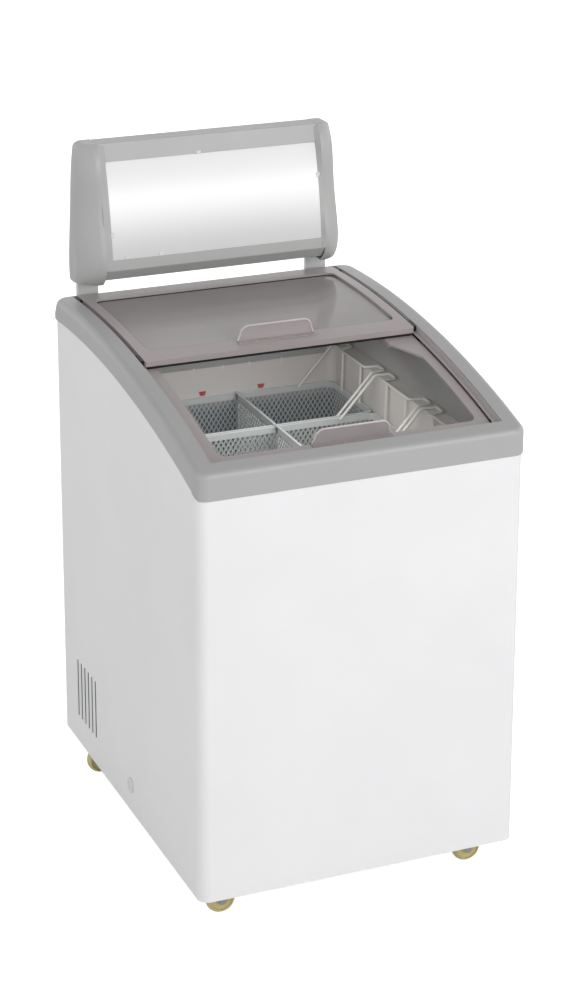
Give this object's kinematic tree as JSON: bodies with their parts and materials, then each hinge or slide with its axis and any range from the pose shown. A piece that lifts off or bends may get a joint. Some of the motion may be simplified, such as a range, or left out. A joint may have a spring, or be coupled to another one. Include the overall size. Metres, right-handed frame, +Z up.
{
  "type": "ice cream freezer",
  "caption": "Ice cream freezer on castors with an arched top, sliding curved glass lids, hanging mesh baskets and a light box on posts.",
  "frame": {"origin": "floor under the middle of the whole outline in plan", "axes": "+Z up, front faces -Y, +X to the right seen from the front"},
  "size_m": [0.566, 0.7198, 1.147],
  "materials": {
    "shell_white": "smooth gloss enamel",
    "back_sheet": "smooth enamel",
    "zinc_steel": "zinc plated",
    "liner_plastic": "smooth, slightly glossy",
    "collar_plastic": "fine matte",
    "foam": "rigid closed-cell foam",
    "coil_metal": "drawn tube",
    "rim_plastic": "satin",
    "track_plastic": "satin",
    "lid_plastic": "satin",
    "lid_glass": "clear, lightly tinted",
    "black_plastic": "satin",
    "brush_seal": "short pile",
    "basket_coat": "dipped plastic coat",
    "sign_plastic": "satin",
    "post_paint": "satin enamel",
    "acrylic": "opal, glossy",
    "lamp_white": "frosted",
    "white_plastic": "satin",
    "wheel_nylon": "smooth, cream yellow",
    "black_paint": "satin enamel",
    "rubber": "matte",
    "copper": "bright copper",
    "fin_aluminium": "mill finish",
    "plug_plastic": "satin"
  },
  "bodies": {
    "cabinet": {"back_panel": "back_sheet", "base_pan": "zinc_steel", "bay_cover": "back_sheet", "cable_gland": "black_plastic", "castor_plates": "zinc_steel", "compressor": "black_paint", "compressor_grommets": "rubber", "condenser": "fin_aluminium", "cover_screws": "zinc_steel", "drain_tube": "white_plastic", "evaporator_coil": "coil_metal", "fan_motor": "black_paint", "fan_shroud": "zinc_steel", "filter_drier": "copper", "inner_liner": "liner_plastic", "insulation": "foam", "lamp_ballast": "white_plastic", "lamp_holders": "black_plastic", "lamp_tube": "lamp_white", "lid_tracks": "track_plastic", "light_box_back": "sign_plastic", "light_box_bottom_rail": "sign_plastic", "light_box_cap_left": "sign_plastic", "light_box_cap_right": "sign_plastic", "light_box_panel": "acrylic", "light_box_top_rail": "sign_plastic", "neck_collar": "collar_plastic", "outer_shell": "shell_white", "relay_box": "black_plastic", "sign_post_left": "post_paint", "sign_post_right": "post_paint", "thermostat": "white_plastic", "top_rim": "rim_plastic"},
    "upper_lid": {"upper_lid_frame": "lid_plastic", "upper_lid_glass": "lid_glass", "upper_lid_grip": "lid_plastic", "upper_lid_glides": "black_plastic", "lid_brush_seal": "brush_seal"},
    "lower_lid": {"lower_lid_frame": "lid_plastic", "lower_lid_glass": "lid_glass", "lower_lid_grip": "lid_plastic", "lower_lid_glides": "black_plastic"},
    "rear_basket": {"rear_basket": "basket_coat", "rear_divider": "basket_coat"},
    "middle_basket": {"middle_basket": "basket_coat", "middle_divider": "basket_coat"},
    "front_basket": {"front_basket": "basket_coat"},
    "drain_plug": {"drain_plug": "plug_plastic"},
    "thermostat_knob": {"thermostat_knob": "black_plastic"},
    "fan": {"fan_blades": "black_plastic"},
    "castor_swivel_front_left": {"castor_fork_front_left": "zinc_steel"},
    "castor_wheel_front_left": {"castor_wheel_front_left": "wheel_nylon"},
    "castor_swivel_front_right": {"castor_fork_front_right": "zinc_steel"},
    "castor_wheel_front_right": {"castor_wheel_front_right": "wheel_nylon"},
    "castor_swivel_rear_left": {"castor_fork_rear_left": "zinc_steel"},
    "castor_wheel_rear_left": {"castor_wheel_rear_left": "wheel_nylon"},
    "castor_swivel_rear_right": {"castor_fork_rear_right": "zinc_steel"},
    "castor_wheel_rear_right": {"castor_wheel_rear_right": "wheel_nylon"}
  },
  "joints": [
    {"name": "upper_lid_slide", "type": "hinge", "parent": "cabinet", "child": "upper_lid", "pos_m": [0, 0.2251, -1.112], "axis": [1, 0, 0], "range_deg": [0, 8]},
    {"name": "lower_lid_slide", "type": "hinge", "parent": "cabinet", "child": "lower_lid", "pos_m": [0, 0.2251, -1.112], "axis": [1, 0, 0], "range_deg": [-8, 0]},
    {"name": "rear_basket_lift", "type": "slide", "parent": "cabinet", "child": "rear_basket", "axis": [0, 0, 1], "range_m": [0, 0.09]},
    {"name": "middle_basket_lift", "type": "slide", "parent": "cabinet", "child": "middle_basket", "axis": [0, 0, 1], "range_m": [0, 0.07]},
    {"name": "front_basket_lift", "type": "slide", "parent": "cabinet", "child": "front_basket", "axis": [0, 0, 1], "range_m": [0, 0.035]},
    {"name": "drain_plug_pull", "type": "slide", "parent": "cabinet", "child": "drain_plug", "axis": [-1, 0, 0], "range_m": [0, 0.018]},
    {"name": "thermostat_turn", "type": "hinge", "parent": "cabinet", "child": "thermostat_knob", "pos_m": [0.182, 0.3431, 0.306], "axis": [0, -1, 0], "range_deg": [0, 270]},
    {"name": "fan_spin", "type": "hinge", "parent": "cabinet", "child": "fan", "pos_m": [-0.2127, 0.2391, 0.1625], "axis": [1, 0, 0], "continuous": true},
    {"name": "swivel_front_left", "type": "hinge", "parent": "cabinet", "child": "castor_swivel_front_left", "pos_m": [-0.209, -0.2929, 0.058], "axis": [0, 0, 1], "continuous": true},
    {"name": "roll_front_left", "type": "hinge", "parent": "castor_swivel_front_left", "child": "castor_wheel_front_left", "pos_m": [-0.223, -0.2929, 0.025], "axis": [0, 1, 0], "continuous": true},
    {"name": "swivel_front_right", "type": "hinge", "parent": "cabinet", "child": "castor_swivel_front_right", "pos_m": [0.209, -0.2929, 0.058], "axis": [0, 0, 1], "continuous": true},
    {"name": "roll_front_right", "type": "hinge", "parent": "castor_swivel_front_right", "child": "castor_wheel_front_right", "pos_m": [0.223, -0.2929, 0.025], "axis": [0, 1, 0], "continuous": true},
    {"name": "swivel_rear_left", "type": "hinge", "parent": "cabinet", "child": "castor_swivel_rear_left", "pos_m": [-0.232, 0.2451, 0.058], "axis": [0, 0, 1], "continuous": true},
    {"name": "roll_rear_left", "type": "hinge", "parent": "castor_swivel_rear_left", "child": "castor_wheel_rear_left", "pos_m": [-0.246, 0.2451, 0.025], "axis": [0, 1, 0], "continuous": true},
    {"name": "swivel_rear_right", "type": "hinge", "parent": "cabinet", "child": "castor_swivel_rear_right", "pos_m": [0.232, 0.2451, 0.058], "axis": [0, 0, 1], "continuous": true},
    {"name": "roll_rear_right", "type": "hinge", "parent": "castor_swivel_rear_right", "child": "castor_wheel_rear_right", "pos_m": [0.246, 0.2451, 0.025], "axis": [0, 1, 0], "continuous": true}
  ]
}
